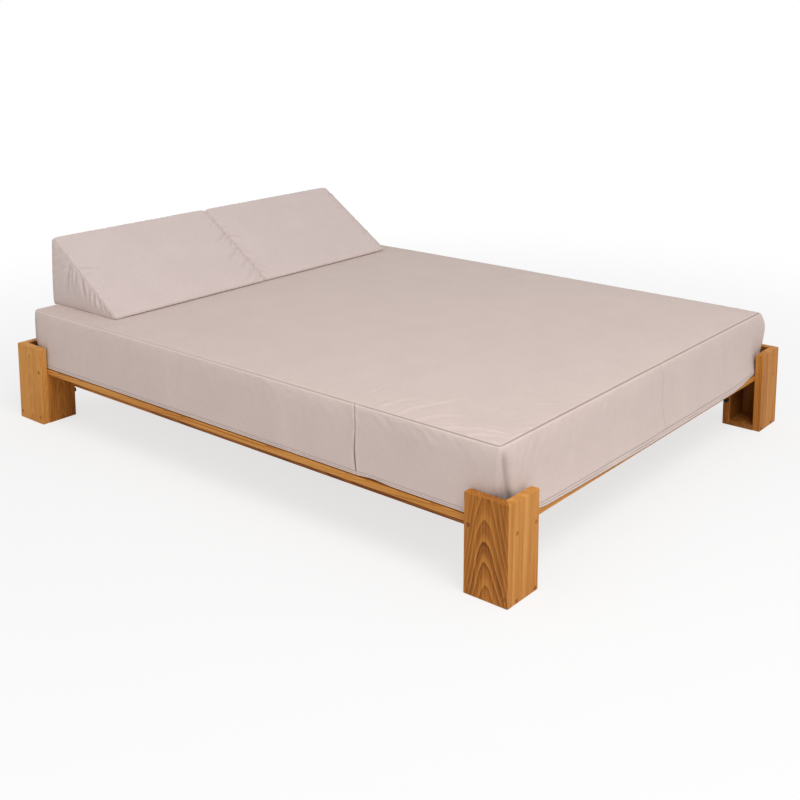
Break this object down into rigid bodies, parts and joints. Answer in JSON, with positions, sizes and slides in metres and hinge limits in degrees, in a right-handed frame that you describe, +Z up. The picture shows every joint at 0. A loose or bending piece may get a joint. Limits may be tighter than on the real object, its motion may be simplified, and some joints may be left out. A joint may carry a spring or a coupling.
{
  "type": "double chaise lounger",
  "caption": "Low square-legged teak platform with a slatted deck, one thick full-size mattress and two loose wedge back cushions at the head end.",
  "frame": {"origin": "on the floor under the middle of the platform", "axes": "+X across the width, +Y along the length to the head end with the wedge cushions, +Z up"},
  "size_m": [1.668, 2.1, 0.6319],
  "materials": {
    "leg_teak": "oiled, fine open grain",
    "deck_teak": "oiled, fine open grain",
    "rail_teak": "oiled, fine open grain",
    "slat_teak": "oiled, fine open grain",
    "plug_teak": "oiled, sanded flush",
    "black_bolt": "black, low sheen",
    "mattress_fabric": "woven outdoor cloth, matt",
    "wedge_fabric": "woven outdoor cloth, matt",
    "foam": "open-cell cushion foam"
  },
  "bodies": {
    "platform": {"foot_left_leg_side_board": "leg_teak", "foot_left_leg_end_board": "leg_teak", "foot_left_leg_inner_board": "leg_teak", "foot_left_leg_base_board": "leg_teak", "foot_right_leg_side_board": "leg_teak", "foot_right_leg_end_board": "leg_teak", "foot_right_leg_inner_board": "leg_teak", "foot_right_leg_base_board": "leg_teak", "head_left_leg_side_board": "leg_teak", "head_left_leg_end_board": "leg_teak", "head_left_leg_inner_board": "leg_teak", "head_left_leg_base_board": "leg_teak", "head_right_leg_side_board": "leg_teak", "head_right_leg_end_board": "leg_teak", "head_right_leg_inner_board": "leg_teak", "head_right_leg_base_board": "leg_teak", "left_rail": "rail_teak", "left_ledger": "rail_teak", "left_deck_board": "deck_teak", "right_rail": "rail_teak", "right_ledger": "rail_teak", "right_deck_board": "deck_teak", "foot_beam": "rail_teak", "foot_deck_board": "deck_teak", "head_beam": "rail_teak", "head_deck_board": "deck_teak", "centre_beam": "rail_teak", "centre_leg": "rail_teak", "slat_01": "slat_teak", "slat_02": "slat_teak", "slat_03": "slat_teak", "slat_04": "slat_teak", "slat_05": "slat_teak", "slat_06": "slat_teak", "slat_07": "slat_teak", "slat_08": "slat_teak", "slat_09": "slat_teak", "slat_10": "slat_teak", "slat_11": "slat_teak", "slat_12": "slat_teak", "slat_13": "slat_teak", "slat_14": "slat_teak", "slat_15": "slat_teak", "slat_16": "slat_teak", "slat_17": "slat_teak", "slat_18": "slat_teak", "slat_19": "slat_teak", "leg_plugs": "plug_teak", "leg_bolts": "black_bolt"},
    "mattress": {"mattress_cover": "mattress_fabric", "mattress_foam": "foam"},
    "left_wedge": {"left_wedge_cover": "wedge_fabric", "left_wedge_foam": "foam"},
    "right_wedge": {"right_wedge_cover": "wedge_fabric", "right_wedge_foam": "foam"}
  },
  "joints": [
    {"name": "mattress_lift", "type": "slide", "parent": "platform", "child": "mattress", "axis": [0, 0, 1], "range_m": [0, 0.3]},
    {"name": "left_wedge_lift", "type": "slide", "parent": "mattress", "child": "left_wedge", "axis": [0, 0, 1], "range_m": [0, 0.3]},
    {"name": "right_wedge_lift", "type": "slide", "parent": "mattress", "child": "right_wedge", "axis": [0, 0, 1], "range_m": [0, 0.3]}
  ]
}
